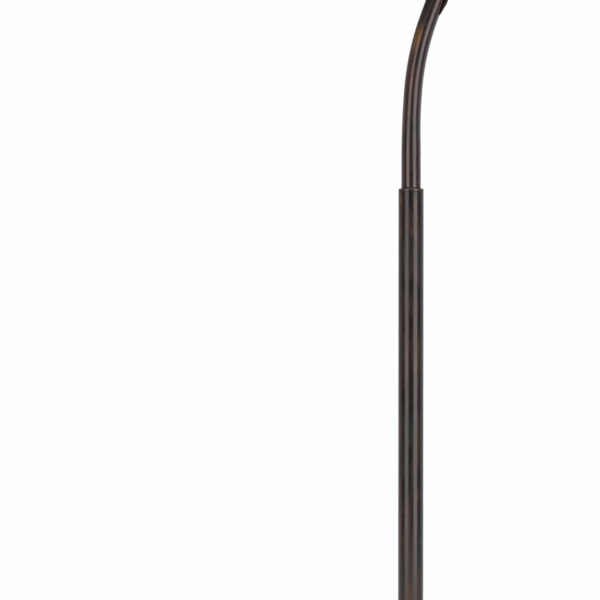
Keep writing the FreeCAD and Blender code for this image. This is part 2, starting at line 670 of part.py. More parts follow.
# ================================================================ socket
def socket():
    hole = STEM_R + FIT
    shoulder = (CUP_R - CUP_FLARE, CUP_Z - CUP_SHOULDER_DROP)
    cup = spun([(CUP_R, CUP_Z - CUP_H), shoulder, bulged(shoulder, (CUP_TOP_R, CUP_Z), -CUP_BULGE),
                (hole, CUP_Z)], CUP_WALL, HEAD_X)
    nipple_top = CUP_Z + NIPPLE_UP
    locknut_z = CUP_Z - CUP_WALL - LOCKNUT_H
    locknut = hexagon(LOCKNUT_AF, locknut_z, CUP_Z - CUP_WALL, HEAD_X)
    locknut = locknut.cut(Part.makeCylinder(hole, LOCKNUT_H, V(HEAD_X, 0, locknut_z)))
    skirt_r = SHELL_R + FIT + CAP_WALL
    dome = (skirt_r, CAP_SKIRT_Z)
    hub_foot = (CAP_HUB_R, CAP_DOME_Z)
    cap = spun([(skirt_r, CAP_FOOT_Z), dome, bulged(dome, hub_foot, -CAP_BULGE), (CAP_HUB_R, CAP_Z),
                (hole, CAP_Z)], CAP_WALL, HEAD_X)

    shell_foot = SHELL_Z - SHELL_L
    shell = tube(SHELL_R, SHELL_R - SHELL_WALL, shell_foot, SHELL_Z, HEAD_X)
    shell = shell.fuse(tube(BEAD_R, SHELL_R - SHELL_WALL, BEAD_Z, BEAD_Z + BEAD_H, HEAD_X))
    shaft_hole = rod_y(SWITCH_R + FIT, -SHELL_R, 0, HEAD_X, SWITCH_Z)
    sleeve_r = SHELL_R - SHELL_WALL - FIT
    sleeve = tube(sleeve_r, sleeve_r - INSULATOR_T, BODY_Z - INSULATOR_L, BODY_Z, HEAD_X)
    body_r = sleeve_r - INSULATOR_T - FIT
    body = Part.makeCylinder(body_r, BODY_L, V(HEAD_X, 0, BODY_FOOT_Z))
    deep = rod_y(SWITCH_R + FIT, -SHELL_R, -SWITCH_ROOT + SEAT, HEAD_X, SWITCH_Z)
    screw_foot = BODY_FOOT_Z - SCREW_SHELL_L
    screw_shell = tube(SCREW_SHELL_R, SCREW_SHELL_R - SCREW_SHELL_WALL, screw_foot, BODY_FOOT_Z, HEAD_X)

    contact_z = BODY_FOOT_Z - CONTACT_H
    knob_in = -SWITCH_REACH + SWITCH_KNOB_L
    knob = rod_y(SWITCH_KNOB_R, -SWITCH_REACH, knob_in, HEAD_X, SWITCH_Z)
    knob = fluted(knob, SWITCH_FLUTES, SWITCH_KNOB_R, SWITCH_FLUTE_R, V(HEAD_X, -SWITCH_REACH, SWITCH_Z),
                  SWITCH_KNOB_L, ALONG_Y)
    shaft = rod_y(SWITCH_R, knob_in, -SWITCH_ROOT, HEAD_X, SWITCH_Z)
    return {
        "socket_cup": cup,
        "socket_nipple": tube(STEM_R, STUD_BORE_R, nipple_top - NIPPLE_L, nipple_top, HEAD_X),
        "socket_locknut": locknut,
        "socket_cap": cap,
        "socket_shell": shell.cut(shaft_hole),
        "socket_insulator": sleeve.cut(shaft_hole),
        "socket_body": body.cut(deep),
        "socket_screw_shell": screw_shell,
        "socket_centre_contact": Part.makeCylinder(CONTACT_R, CONTACT_H, V(HEAD_X, 0, contact_z)),
        "switch_knob": knob,
        "switch_shaft": shaft,
    }


# ================================================================ bulb
def bulb():
    cone_z = BULB_TIP_Z - BULB_TIP_H - BULB_CONE_H
    cap = spun([(BULB_CAP_R, BULB_CAP_FOOT_Z), (BULB_CAP_R, cone_z), (BULB_CONE_R, cone_z + BULB_CONE_H),
                (BULB_TIP_R, cone_z + BULB_CONE_H)], BULB_CAP_WALL, HEAD_X)
    tip_z = BULB_TIP_Z - BULB_TIP_H
    tip = Part.makeCylinder(BULB_TIP_R - FIT, BULB_TIP_H + BULB_CAP_WALL, V(HEAD_X, 0, tip_z - BULB_CAP_WALL))
    neck_top = BULB_CAP_FOOT_Z + BULB_GRIP
    bottom = BULB_CAP_FOOT_Z - BULB_L
    centre = bottom + BULB_R
    # the neck is a hollow arc that meets the round bowl where the bowl's side leans 45 degrees
    slant = math.sqrt(0.5) * BULB_R
    join = (slant, centre + slant)
    neck = (BULB_NECK_R, BULB_CAP_FOOT_Z)
    glass = spun([(0.0, bottom), (BULB_R, centre, *join), bulged(join, neck, -BULB_NECK_SAG),
                  (BULB_NECK_R, neck_top)], BULB_GLASS, HEAD_X)
    return {"bulb_cap": cap, "bulb_tip_contact": tip, "bulb_glass": glass}


# ================================================================ shade
def shade_r(z):
    """Outer radius of the fabric at a height."""
    return SHADE_TOP_R + (SHADE_Z - z) * (SHADE_BOTTOM_R - SHADE_TOP_R) / SHADE_H


def cone_ring(outset, thickness, low, high):
    """Conical ring whose outer side stands outset from the fabric's outer side."""
    low_r, high_r = shade_r(low) + outset, shade_r(high) + outset
    return lathe([(low_r, low), (high_r, high), (high_r - thickness, high), (low_r - thickness, low)], HEAD_X)


def shade_ring(z):
    """Wire hoop that lies against the liner at a height, and its radius."""
    slope = math.atan2(SHADE_BOTTOM_R - SHADE_TOP_R, SHADE_H)
    radius = shade_r(z) - COVER_T - LINER_T - 2 * BOND_GAP - SHADE_WIRE_R / math.cos(slope)
    return Part.makeTorus(radius, SHADE_WIRE_R, V(HEAD_X, 0, z), UP), radius


def trim(edge_z, inward):
    """Bias tape: a band outside the fabric and a lip over its edge. inward is -1 at the top edge, 1 below."""
    low, high = sorted((edge_z, edge_z + inward * TRIM_W))
    outset = BOND_GAP + TRIM_T
    band = cone_ring(outset, TRIM_T, low, high)
    lip_low, lip_high = sorted((edge_z - inward * BOND_GAP, edge_z - inward * (BOND_GAP + TRIM_T)))
    lip = cone_ring(outset, outset + COVER_T + BOND_GAP + LINER_T, lip_low, lip_high)
    corner = cone_ring(outset, TRIM_T, *sorted((edge_z, edge_z - inward * BOND_GAP)))
    return band.fuse([corner, lip])


def shade():
    fitter_z = BEAD_Z - SEAT - FITTER_H
    nut_z = fitter_z - SEAT - RING_NUT_H
    hole = SHELL_R + FIT
    upper_hoop, hoop_r = shade_ring(SHADE_Z - WIRE_INSET)
    lower_hoop, _ = shade_ring(SHADE_FOOT_Z + WIRE_INSET)
    frame = tube(FITTER_R, hole, fitter_z, fitter_z + FITTER_H, HEAD_X)
    foot_r = FITTER_R - SPOKE_R
    for k in range(SPOKES):
        turn = math.radians(SPOKE_TURN + 360 * k / SPOKES)
        out = V(math.cos(turn), math.sin(turn), 0)
        foot = V(HEAD_X, 0, fitter_z + FITTER_H) + out * foot_r
        frame = frame.fuse(rod_between(SPOKE_R, foot, V(HEAD_X, 0, SHADE_Z - WIRE_INSET) + out * hoop_r))
    frame = frame.cut(Part.makeCylinder(hole, RING_NUT_H, V(HEAD_X, 0, fitter_z - SEAT)))
    frame = frame.cut(upper_hoop)
    nut = tube(RING_NUT_R, hole, nut_z, fitter_z - SEAT, HEAD_X)
    nut = fluted(nut, RING_NUT_FLUTES, RING_NUT_R, RING_NUT_FLUTE_R, V(HEAD_X, 0, nut_z), RING_NUT_H, UP)
    return {
        "shade_frame": frame,
        "shade_ring_nut": nut,
        "shade_upper_hoop": upper_hoop,
        "shade_lower_hoop": lower_hoop,
        "shade_cover": cone_ring(0.0, COVER_T, SHADE_FOOT_Z, SHADE_Z),
        "shade_liner": cone_ring(-COVER_T - BOND_GAP, LINER_T, SHADE_FOOT_Z, SHADE_Z),
        "shade_trim_top": trim(SHADE_Z, -1),
        "shade_trim_bottom": trim(SHADE_FOOT_Z, 1),
    }


save({**base(), **pole(), **swivel(), **arm(), **scroll(), **knuckle(), **socket(), **bulb(), **shade()})
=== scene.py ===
import json
import math

import bmesh
import bpy
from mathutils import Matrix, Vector


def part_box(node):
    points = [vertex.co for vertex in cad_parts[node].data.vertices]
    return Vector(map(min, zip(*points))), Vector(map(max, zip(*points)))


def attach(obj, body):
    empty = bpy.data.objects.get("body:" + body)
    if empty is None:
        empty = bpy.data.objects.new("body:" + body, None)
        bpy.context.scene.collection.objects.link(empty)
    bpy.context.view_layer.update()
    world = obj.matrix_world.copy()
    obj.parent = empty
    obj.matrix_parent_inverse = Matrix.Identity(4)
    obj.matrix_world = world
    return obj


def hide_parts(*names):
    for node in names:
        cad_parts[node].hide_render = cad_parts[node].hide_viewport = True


# Bridge floor lamp in rust bronze. Everything is in metres. The floor is z = 0, and the pole stands on the
# Z axis. The arm lies in the plane y = 0, with the shade at -X and the camera at -Y.

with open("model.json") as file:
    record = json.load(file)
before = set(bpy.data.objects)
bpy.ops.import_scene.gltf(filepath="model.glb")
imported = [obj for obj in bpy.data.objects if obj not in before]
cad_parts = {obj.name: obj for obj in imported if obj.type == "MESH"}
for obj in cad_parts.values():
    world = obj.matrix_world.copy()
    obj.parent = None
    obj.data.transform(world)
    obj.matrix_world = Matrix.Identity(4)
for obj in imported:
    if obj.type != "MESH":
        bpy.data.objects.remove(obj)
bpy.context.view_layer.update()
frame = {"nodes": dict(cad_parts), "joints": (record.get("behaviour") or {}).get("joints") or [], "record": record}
nodes = frame["nodes"]
joints = {joint["name"]: joint for joint in frame["joints"]}
scene = bpy.context.scene

MM = 0.001
ALONG_Y = Vector((0, 1, 0))

# ================================================================ sizes
FIT = 0.05 * MM                # gap between pieces that fit closely

POLE_R = 13.0 * MM
POLE_WALL = 1.2 * MM
POLE_TOP = 880.0 * MM          # upper face of the ring that closes the pole

ARM_R = 10.0 * MM
ARM_WALL = 1.2 * MM
ARM_OVAL = 0.6 * MM            # the bends take this off the tube's radius one way and add it the other way
STUB_L = 98.0 * MM             # the arm's foot, inside the pole
OVAL_START = 33.0 * MM         # height above the pole where the tube starts to go oval
OVAL_NECK_L = 52.0 * MM        # length over which it does so

# The arm's line above the pole, as straight lengths, and as bends of a radius and a turn in degrees.
STRAIGHT_L = 50.7 * MM
EASE_R, EASE_TURN = 632.0 * MM, 4.7
LEAN_R, LEAN_TURN = 285.0 * MM, 15.15
LEAN_L = 40.0 * MM             # the leaning straight
RISE_R = 810.0 * MM
HOOK_R, HOOK_TURN = 146.4 * MM, 180.0
TAIL_L = 12.0 * MM             # straight on which the tube goes back to round
TIP_L = 14.0 * MM

STRAP_T = 3.0 * MM
STRAP_W = 12.0 * MM
STRAP_NARROW = 0.2             # share of the width that is gone at both ends
STRAP_START = 6.6 * MM         # from the start of the leaning straight to the strap's tip
STRAP_LEAVE = 22.0 * MM        # how far the strap runs on straight beyond it
STRAP_POINT = 0.3 * MM         # thickness of the tip
STRAP_TAPER = 13.0 * MM        # length over which it thickens
STRAP_END_T = 2.0 * MM
STRAP_END_L = 34.0 * MM        # length of the thinned inner end
STRAP_ROUNDING = 0.3           # of the strap's edges, as a share of its thickness
CURL_R = 60.0 * MM
CURL_SHRINK = 0.7              # each arc's radius, as a share of the one before
CURL_TURN = 70.0
CURL_ARCS = 6

SHADE_TOP_R = 100.0 * MM
COVER_T = 0.6 * MM
LINER_T = 0.5 * MM
BOND_GAP = 0.3 * MM            # where the glue is, between the layers of the shade
SEAM_W = 12.0 * MM
TRIM_W = 9.0 * MM
TRIM_T = 0.5 * MM

# ================================================================ finishes
GRAIN = "grain"                # attribute of swept pieces: place on the straight bar, and distance along it
WEAVE = "weave"                # attribute of cloth: distances round it and along it

# Sockets of a Mix node that mixes colours.
MIX_FACTOR, MIX_FIRST, MIX_SECOND, MIX_RESULT = 0, 6, 7, 2

SPOT_FULL, SPOT_GONE = 0.35, 1.30      # shares of its reach at which a spot starts to fade and is gone
SPOT_RAGGED = 0.5                      # how much of the streaks goes into its edge


class Finish:
    """A node material being put together round its Principled shader."""

    def __init__(self, name, **inputs):
        self.material = bpy.data.materials.new(name)
        self.material.use_nodes = True
        self.tree = self.material.node_tree
        self.shader = self.tree.nodes["Principled BSDF"]
        for key, value in inputs.items():
            self.shader.inputs[key.replace("_", " ")].default_value = value

    @classmethod
    def of_world(cls, world):
        """The same tools for the nodes of a world, which has no Principled shader."""
        f = cls.__new__(cls)
        f.tree = world.node_tree
        return f

    def add(self, kind, inputs=(), **settings):
        node = self.tree.nodes.new("ShaderNode" + kind)
        for key, value in settings.items():
            setattr(node, key, value)
        for key, value in dict(inputs).items():
            self.feed(node.inputs[key], value)
        return node

    def feed(self, socket, value):
        if isinstance(value, bpy.types.NodeSocket):
            self.tree.links.new(value, socket)
        else:
            socket.default_value = value

    def place(self, stretch=(1, 1, 1), attribute=None, shift=0.0):
        """Position on the piece, squeezed by stretch, then shifted. A swept piece has it in an attribute."""
        if attribute:
            source = self.add("Attribute", attribute_name=attribute).outputs["Vector"]
        else:
            source = self.add("TexCoord").outputs["Object"]
        if not isinstance(shift, tuple):
            shift = (shift, shift, shift)
        mapping = {"Vector": source, "Scale": stretch, "Location": shift}
        return self.add("Mapping", mapping).outputs["Vector"]

    def noise(self, place, per_metre, detail=2.0, rough=0.5):
        inputs = {"Vector": place, "Scale": per_metre, "Detail": detail, "Roughness": rough}
        return self.add("TexNoise", inputs).outputs["Fac"]

    def drawn(self, kind, attribute):
        """Noise drawn out along the metal, of a kind (features a metre, detail, squeeze along, shift)."""
        per_metre, detail, squeeze, shift = kind
        return self.noise(self.place((1.0, 1.0, squeeze), attribute, shift), per_metre, detail)

    def spot(self, attribute, centre, across, along, ragged):
        """1 in a patch that reaches so far across and along the metal, and 0 outside its ragged edge."""
        scale = (1 / across, 1 / across, 1 / along)
        moved = tuple(-part * times for part, times in zip(centre, scale))
        source = self.place(scale, attribute, moved)
        away = self.add("VectorMath", {0: source}, operation="LENGTH").outputs["Value"]
        torn = self.math("ADD", away, self.math("MULTIPLY", ragged, SPOT_RAGGED))
        return self.ramp(torn, SPOT_GONE, SPOT_FULL)

    def ramp(self, value, low, high, to_low=0.0, to_high=1.0):
        inputs = {"Value": value, "From Min": low, "From Max": high, "To Min": to_low, "To Max": to_high}
        return self.add("MapRange", inputs, interpolation_type="SMOOTHSTEP").outputs["Result"]

    def math(self, operation, first, second=0.0):
        return self.add("Math", {0: first, 1: second}, operation=operation).outputs[0]

    def mix(self, factor, first, second):
        """The first colour where the factor is 0, and the second where it is 1."""
        node = self.add("Mix", data_type="RGBA")
        self.feed(node.inputs[MIX_FACTOR], factor)
        for index, colour in ((MIX_FIRST, first), (MIX_SECOND, second)):
            if not isinstance(colour, bpy.types.NodeSocket):
                colour = (*colour, 1.0)
            self.feed(node.inputs[index], colour)
        return node.outputs[MIX_RESULT]

    def colour(self, socket):
        self.feed(self.shader.inputs["Base Color"], socket)

    def roughness(self, socket):
        self.feed(self.shader.inputs["Roughness"], socket)

    def bump(self, height, depth, strength):
        inputs = {"Height": height, "Distance": depth, "Strength": strength}
        self.feed(self.shader.inputs["Normal"], self.add("Bump", inputs).outputs["Normal"])


# Stretches of a noise, from where a tone starts to show to where it is full.
SPREAD = (0.30, 0.70)
WORN = (0.35, 0.65)
CLOUDY = (0.35, 0.70)
STREAKY = (0.38, 0.68)
TARNISHED = (0.40, 0.68)
SLUBBED = (0.45, 0.72)
DULLED = (0.45, 0.85)
RUSTY = (0.50, 0.70)
SPECKLED = (0.60, 0.76)

BRONZE_DARK = (0.0255, 0.0200, 0.0190)
BRONZE_WARM = (0.0370, 0.0235, 0.0215)
BRONZE_BROWN = (0.0500, 0.0320, 0.0250)
BRONZE_RED = (0.0850, 0.0400, 0.0310)
BRONZE_GOLD = (0.2300, 0.1120, 0.0380)
BRONZE_OLIVE = (0.0800, 0.0520, 0.0300)
BRONZE_UMBER = (0.1150, 0.0620, 0.0330)
BRONZE_GREEN = (0.0240, 0.0290, 0.0260)
BRONZE_VIOLET = (0.0500, 0.0320, 0.0370)
# Near-black used as painted shade: the dark line in the gap round the arm at the ring, and the arm's upper left
# side where a streak of light fades out.
BRONZE_PAINTED_SHADE = (0.0120, 0.0090, 0.0080)
BRONZE_RUBBED = (0.1500, 0.1250, 0.1100)

# Noises of the lacquer: features a metre, detail, squeeze along the metal, and shift.
STREAKS = (170.0, 2.0, 0.20, 0.0)
WEAR = (30.0, 2.0, 0.50, 9.4)
SPECKS = (800.0, 2.0, 0.45, 8.0)

# Clouds in the lacquer: colour, noise, where in the noise the cloud starts, and which way rust moves that.
CLOUDS = (
    (BRONZE_GREEN, (90.0, 2.0, 0.20, 5.3), 0.47, 1),
    (BRONZE_VIOLET, (110.0, 1.5, 0.20, 6.9), 0.50, 0),
    (BRONZE_RED, (85.0, 2.0, 0.20, 0.7), 0.55, -1),
    (BRONZE_OLIVE, (120.0, 1.5, 0.20, 3.1), 0.62, 0),
)
CLOUD_EDGE = 0.20              # stretch of the noise over which a cloud comes up
CLOUD_MOST, SPECK_MOST = 0.8, 0.15     # how far they cover the tone below them
WORN_REACH = (0.06, -0.02)     # the less a place is worn, the later its clouds start
RUBBED_EDGE = 0.6 * MM         # height over which a rubbed edge comes up
SPECK_DULLS = 0.3              # how much a speck dulls the gloss against a streak
# Painted shade in a gap is made dull as well as dark.
GAP_SHADE_ROUGH = 0.9
STREAK_RELIEF = 4.0            # height of a streak against that of a speck
LACQUER_RELIEF, LACQUER_BUMP = 0.04 * MM, 0.15


def rust_bronze(name, attribute=None, base=BRONZE_DARK, rust=0.0, gloss=0.72, rough=(0.20, 0.31), spots=(),
                gap_shade=None, edge_z=None):
    """Near-black lacquer, wiped on in streaks along the metal, with red, golden, violet and greenish clouds.

    rust adds red clouds and takes green ones away. A spot is (colour, place, reach across, reach along), and
    stands for lacquer that is rubbed thin or lies thick; a near-black spot is painted shade instead. The argument
    before edge_z is the (place, reach across, reach along) of a dull, dark line of painted shade in a gap.
    Above the height edge_z the edge is rubbed down to the metal.
    """
    f = Finish(name, Metallic=0.5, Specular_IOR_Level=gloss)
    streaks = f.drawn(STREAKS, attribute)
    specks = f.drawn(SPECKS, attribute)
    held_back = f.ramp(f.drawn(WEAR, attribute), *WORN, *WORN_REACH)
    tone = f.mix(f.ramp(streaks, *STREAKY), base, BRONZE_BROWN)
    for colour, kind, start, rusted in CLOUDS:
        seen = f.math("SUBTRACT", f.drawn(kind, attribute), held_back)
        start += rusted * rust
        tone = f.mix(f.ramp(seen, start, start + CLOUD_EDGE, 0.0, CLOUD_MOST), tone, colour)
    tone = f.mix(f.ramp(specks, *SPECKLED, 0.0, SPECK_MOST), tone, BRONZE_RED)
    for colour, place, across, along in spots:
        tone = f.mix(f.spot(attribute, place, across, along, streaks), tone, colour)
    if edge_z:
        height = f.add("SeparateXYZ", {0: f.place()}).outputs["Z"]
        tone = f.mix(f.ramp(height, edge_z, edge_z + RUBBED_EDGE), tone, BRONZE_RUBBED)
    dull = f.math("ADD", f.math("MULTIPLY", specks, SPECK_DULLS), streaks)
    dull = f.ramp(dull, *DULLED, *rough)
    # Painted shade: a dark, dull line where the arm goes into the ring.
    if gap_shade:
        gap_shade_mask = f.spot(attribute, *gap_shade, streaks)
        tone = f.mix(gap_shade_mask, tone, BRONZE_PAINTED_SHADE)
        dull = f.math("MAXIMUM", dull, f.math("MULTIPLY", gap_shade_mask, GAP_SHADE_ROUGH))
    f.colour(tone)
    f.roughness(dull)
    relief = f.math("ADD", specks, f.math("MULTIPLY", streaks, STREAK_RELIEF))
    f.bump(relief, LACQUER_RELIEF, LACQUER_BUMP)
    return f.material


def metal(name, light, dark, rough, stretch=(1, 1, 1)):
    """Bare metal with fine tool marks and a little tarnish. rough is its lowest and highest roughness."""
    f = Finish(name, Metallic=1.0)
    marks = f.noise(f.place(stretch), per_metre=900.0, detail=3.0)
    tarnish = f.noise(f.place(shift=2.0), per_metre=70.0, detail=3.0)
    f.colour(f.mix(f.ramp(tarnish, *TARNISHED), light, dark))
    f.roughness(f.ramp(marks, *SPREAD, *rough))
    f.bump(marks, depth=0.02 * MM, strength=0.5)
    return f.material


def moulded(name, light, dark, rough, per_metre=1500.0, depth=0.03 * MM):
    """Plastic, paint or fibre with a fine grain of so many features a metre."""
    f = Finish(name)
    pores = f.noise(f.place(), per_metre, detail=3.0, rough=0.6)
    clouds = f.noise(f.place(shift=4.0), per_metre=60.0)
    f.colour(f.mix(f.ramp(clouds, *CLOUDY), light, dark))
    f.roughness(f.ramp(pores, *SPREAD, *rough))
    f.bump(pores, depth, strength=0.6)
    return f.material


def cast_iron():
    """Sand-cast skin with pits and patches of rust."""
    f = Finish("cast_iron", Metallic=0.6)
    pits = f.noise(f.place(), per_metre=420.0, detail=4.0, rough=0.65)
    rust = f.noise(f.place(shift=1.3), per_metre=45.0, detail=3.0)
    bare, rusted = (0.055, 0.052, 0.050), (0.110, 0.050, 0.028)
    f.colour(f.mix(f.ramp(rust, *RUSTY), bare, rusted))
    f.roughness(f.ramp(pits, *SPREAD, to_low=0.60, to_high=0.85))
    f.bump(pits, depth=0.4 * MM, strength=0.7)
    return f.material


def felt():
    """Black felt with pale fluff on it."""
    f = Finish("black_felt", Roughness=0.95, Sheen_Weight=0.5)
    fluff = f.noise(f.place(), per_metre=1400.0, detail=4.0, rough=0.7)
    black, pale = (0.012, 0.012, 0.013), (0.045, 0.045, 0.047)
    f.colour(f.mix(f.ramp(fluff, *CLOUDY), black, pale))
    f.bump(fluff, depth=0.4 * MM, strength=0.8)
    return f.material


def cloth(name, light, dark, thread, depth):
    """Plain weave of threads of that width, with slubs in both directions and shade in its hollows."""
    f = Finish(name, Roughness=0.85, Sheen_Weight=0.25, Sheen_Roughness=0.4)
    apart = f.add("SeparateXYZ", {0: f.add("Attribute", attribute_name=WEAVE).outputs["Vector"]}).outputs
    turns = math.tau / thread
    weft = f.math("SINE", f.math("MULTIPLY", apart["Y"], turns))
    warp = f.math("SINE", f.math("MULTIPLY", apart["X"], turns))
    over = f.math("MULTIPLY", weft, warp)
    squeeze, slubs_a_metre = 0.05, 0.45 / thread
    slub_weft = f.noise(f.place((squeeze, 1.0, 1.0), WEAVE), slubs_a_metre)
    slub_warp = f.noise(f.place((1.0, squeeze, 1.0), WEAVE, 0.4), slubs_a_metre)
    slubs = f.math("MAXIMUM", slub_weft, slub_warp)
    tone = f.mix(f.ramp(slubs, *SLUBBED), light, dark)
    hollow = tuple(0.72 * part for part in dark)
    f.colour(f.mix(f.ramp(over, -1.0, 1.0, to_low=0.35, to_high=0.0), tone, hollow))
    relief = f.math("ADD", f.math("MULTIPLY", over, 0.5), slubs)
    f.bump(relief, depth, strength=0.8)
    return f.material


def frosted_glass():
    """Etched white glass that lets some light through."""
    f = Finish("bulb_glass", Transmission_Weight=0.35, IOR=1.45, Coat_Weight=0.3)
    etch = f.noise(f.place(), per_metre=900.0, detail=3.0)
    milky, clear = (0.90, 0.89, 0.86), (0.96, 0.95, 0.93)
    f.colour(f.mix(f.ramp(etch, *SPREAD), milky, clear))
    f.roughness(f.ramp(etch, *SPREAD, to_low=0.38, to_high=0.48))
    f.bump(etch, depth=0.02 * MM, strength=0.4)
    return f.material


def wear_and_shade_spots(rows, level=0.0):
    """Spots for rust_bronze from rows in millimetres, with heights or distances that count from a level."""
    return [(colour, (x * MM, y * MM, level + z * MM), across * MM, along * MM)
            for colour, (x, y, z), across, along in rows]


ALL_ROUND = 60.0 * MM          # a reach across that takes in the whole tube

# The third number of a place is the distance along the arm from its foot.
# Patches of worn or thick lacquer, and one of painted shade.
ARM_WEAR_AND_SHADE = wear_and_shade_spots([
    (BRONZE_GOLD, (-5.5, -8.3, 253.0), 5.5, 22.0),
    (BRONZE_RED, (-5.0, -8.7, 212.0), 5.0, 26.0),
    (BRONZE_RED, (-5.8, -8.1, 176.0), 4.5, 24.0),
    (BRONZE_UMBER, (-9.5, -3.0, 165.0), 3.5, 26.0),
    (BRONZE_RED, (8.6, -5.1, 228.0), 3.5, 50.0),
    (BRONZE_VIOLET, (3.5, -9.4, 258.0), 3.5, 50.0),
    (BRONZE_VIOLET, (3.5, -9.4, 186.0), 3.5, 28.0),
    (BRONZE_GREEN, (4.5, -8.9, 160.0), 6.0, 8.0),
    # Painted shade: darkens the arm's upper left side, where the left streak of light fades out as the arm leans.
    (BRONZE_PAINTED_SHADE, (-7.0, -7.1, 290.0), 6.0, 26.0),
])
# Painted shade on the arm just above the ring, where the gap round it lies in shadow.
ARM_GAP_SHADE = ((0.0, 0.0, STUB_L + 0.3 * MM), ALL_ROUND, 1.4 * MM)

# On pole and ring it is the height, from the top of the pole.
POLE_WEAR = wear_and_shade_spots([
    (BRONZE_UMBER, (-11.0, -6.9, -11.0), 4.0, 10.0),
    (BRONZE_RED, (-11.9, -5.2, -28.0), 3.0, 12.0),
    (BRONZE_UMBER, (-11.4, -6.2, -46.0), 2.5, 9.0),
    (BRONZE_VIOLET, (0.0, -13.0, -29.0), 2.5, 10.0),
    (BRONZE_UMBER, (0.0, -13.0, -45.0), 2.2, 9.0),
    (BRONZE_VIOLET, (4.7, -12.1, -46.0), 2.5, 11.0),
    (BRONZE_RED, (0.0, -13.0, -80.0), 2.2, 20.0),
    (BRONZE_DARK, (-1.0, -13.0, -204.0), 7.5, 36.0),
    (BRONZE_RED, (-11.4, -6.2, -244.0), 2.5, 22.0),
    (BRONZE_RED, (-10.8, -7.2, -350.0), 3.0, 44.0),
    (BRONZE_RED, (-1.5, -12.9, -335.0), 2.2, 26.0),
    (BRONZE_RED, (-0.5, -13.0, -418.0), 4.5, 26.0),
], POLE_TOP)
RING_WEAR = wear_and_shade_spots([(BRONZE_UMBER, (8.3, -10.0, -1.5), 2.5, 4.0)], POLE_TOP)
# Painted shade along the ring's top edge, in the shadow of the gap round the arm.
RING_GAP_SHADE = ((0.0, 0.0, POLE_TOP + 0.3 * MM), ALL_ROUND, 0.9 * MM)
RING_RUBBED_Z = POLE_TOP - 1.4 * MM

BRONZE = rust_bronze("rust_bronze")
BRONZE_POLE = rust_bronze("rust_bronze_pole", spots=POLE_WEAR)
BRONZE_ARM = rust_bronze("rust_bronze_arm", GRAIN, BRONZE_WARM, rust=0.05, gloss=0.92, spots=ARM_WEAR_AND_SHADE,
                         gap_shade=ARM_GAP_SHADE)
BRONZE_STRAP = rust_bronze("rust_bronze_strap", GRAIN, gloss=0.3, rough=(0.42, 0.55))
BRONZE_RING = rust_bronze("rust_bronze_ring", spots=RING_WEAR, gap_shade=RING_GAP_SHADE, edge_z=RING_RUBBED_Z)
IRON = cast_iron()
FELT = felt()
FROSTED = frosted_glass()

# Each: name, lighter colour, darker colour, lowest and highest roughness.
ZINC = metal("zinc_plate", (0.55, 0.55, 0.53), (0.42, 0.42, 0.40), (0.28, 0.45))
BRASS = metal("satin_brass", (0.70, 0.50, 0.22), (0.52, 0.34, 0.14), (0.22, 0.38), stretch=(1, 1, 6))
BULB_METAL = metal("bulb_cap_metal", (0.78, 0.78, 0.77), (0.66, 0.66, 0.65), (0.22, 0.34))
BLACK_NYLON = moulded("black_nylon", (0.020, 0.020, 0.021), (0.034, 0.034, 0.035), (0.42, 0.60))
FIBRE = moulded("red_fibre", (0.26, 0.12, 0.07), (0.18, 0.08, 0.05), (0.60, 0.80))
PHENOLIC = moulded("phenolic", (0.030, 0.022, 0.018), (0.045, 0.032, 0.025), (0.30, 0.45))
CREAM_PAINT = moulded("cream_paint", (0.66, 0.57, 0.42), (0.58, 0.49, 0.35), (0.30, 0.45))
STYRENE = moulded("white_styrene", (0.86, 0.84, 0.79), (0.82, 0.79, 0.73), (0.35, 0.50), per_metre=700.0,
                  depth=0.01 * MM)
LINEN = cloth("linen", (0.70, 0.60, 0.45), (0.56, 0.45, 0.31), thread=0.9 * MM, depth=0.25 * MM)
TAPE = cloth("bias_tape", (0.60, 0.49, 0.34), (0.48, 0.37, 0.24), thread=0.6 * MM, depth=0.12 * MM)

SLOT_FINISH = {
    "felt": FELT, "rust_bronze": BRONZE, "cast_iron": IRON, "plated_steel": ZINC, "brass": BRASS,
    "black_plastic": BLACK_NYLON, "fibre": FIBRE, "phenolic": PHENOLIC, "shade_wire": CREAM_PAINT,
    "linen": LINEN, "liner": STYRENE, "trim_tape": TAPE, "bulb_base": BULB_METAL, "bulb_glass": FROSTED,
}


def dress_frame():
    """Gives every carried-over piece the finish of its slot."""
    for part in frame["record"]["subparts"]:
        shown = nodes[part["node"]]
        shown.data.materials.clear()
        shown.data.materials.append(SLOT_FINISH[part["material_slot"]])


# ================================================================ mesh helpers
HARD_EDGE = math.radians(38)   # faces that meet at this angle or more are shaded apart
SAME_POINT = 1e-7


def grid_mesh(name, rows, wrap_rows, wrap_columns, capped=False):
    """Mesh through equal rows of points, closed round either way, and capped at its two end rows if asked."""
    count, width = len(rows), len(rows[0])
    faces = []
    for i in range(count if wrap_rows else count - 1):
        for j in range(width if wrap_columns else width - 1):
            a, b = i * width, ((i + 1) % count) * width
            k = (j + 1) % width
            faces.append((a + j, a + k, b + k, b + j))
    if capped:
        faces.append(tuple(reversed(range(width))))
        faces.append(tuple((count - 1) * width + j for j in range(width)))
    mesh = bpy.data.meshes.new(name)
    mesh.from_pydata([tuple(point) for row in rows for point in row], [], faces)
    return mesh


def label(mesh, attribute, values):
    """Stores a vector for each point."""
    layer = mesh.attributes.new(attribute, "FLOAT_VECTOR", "POINT")
    layer.data.foreach_set("vector", [part for value in values for part in value])


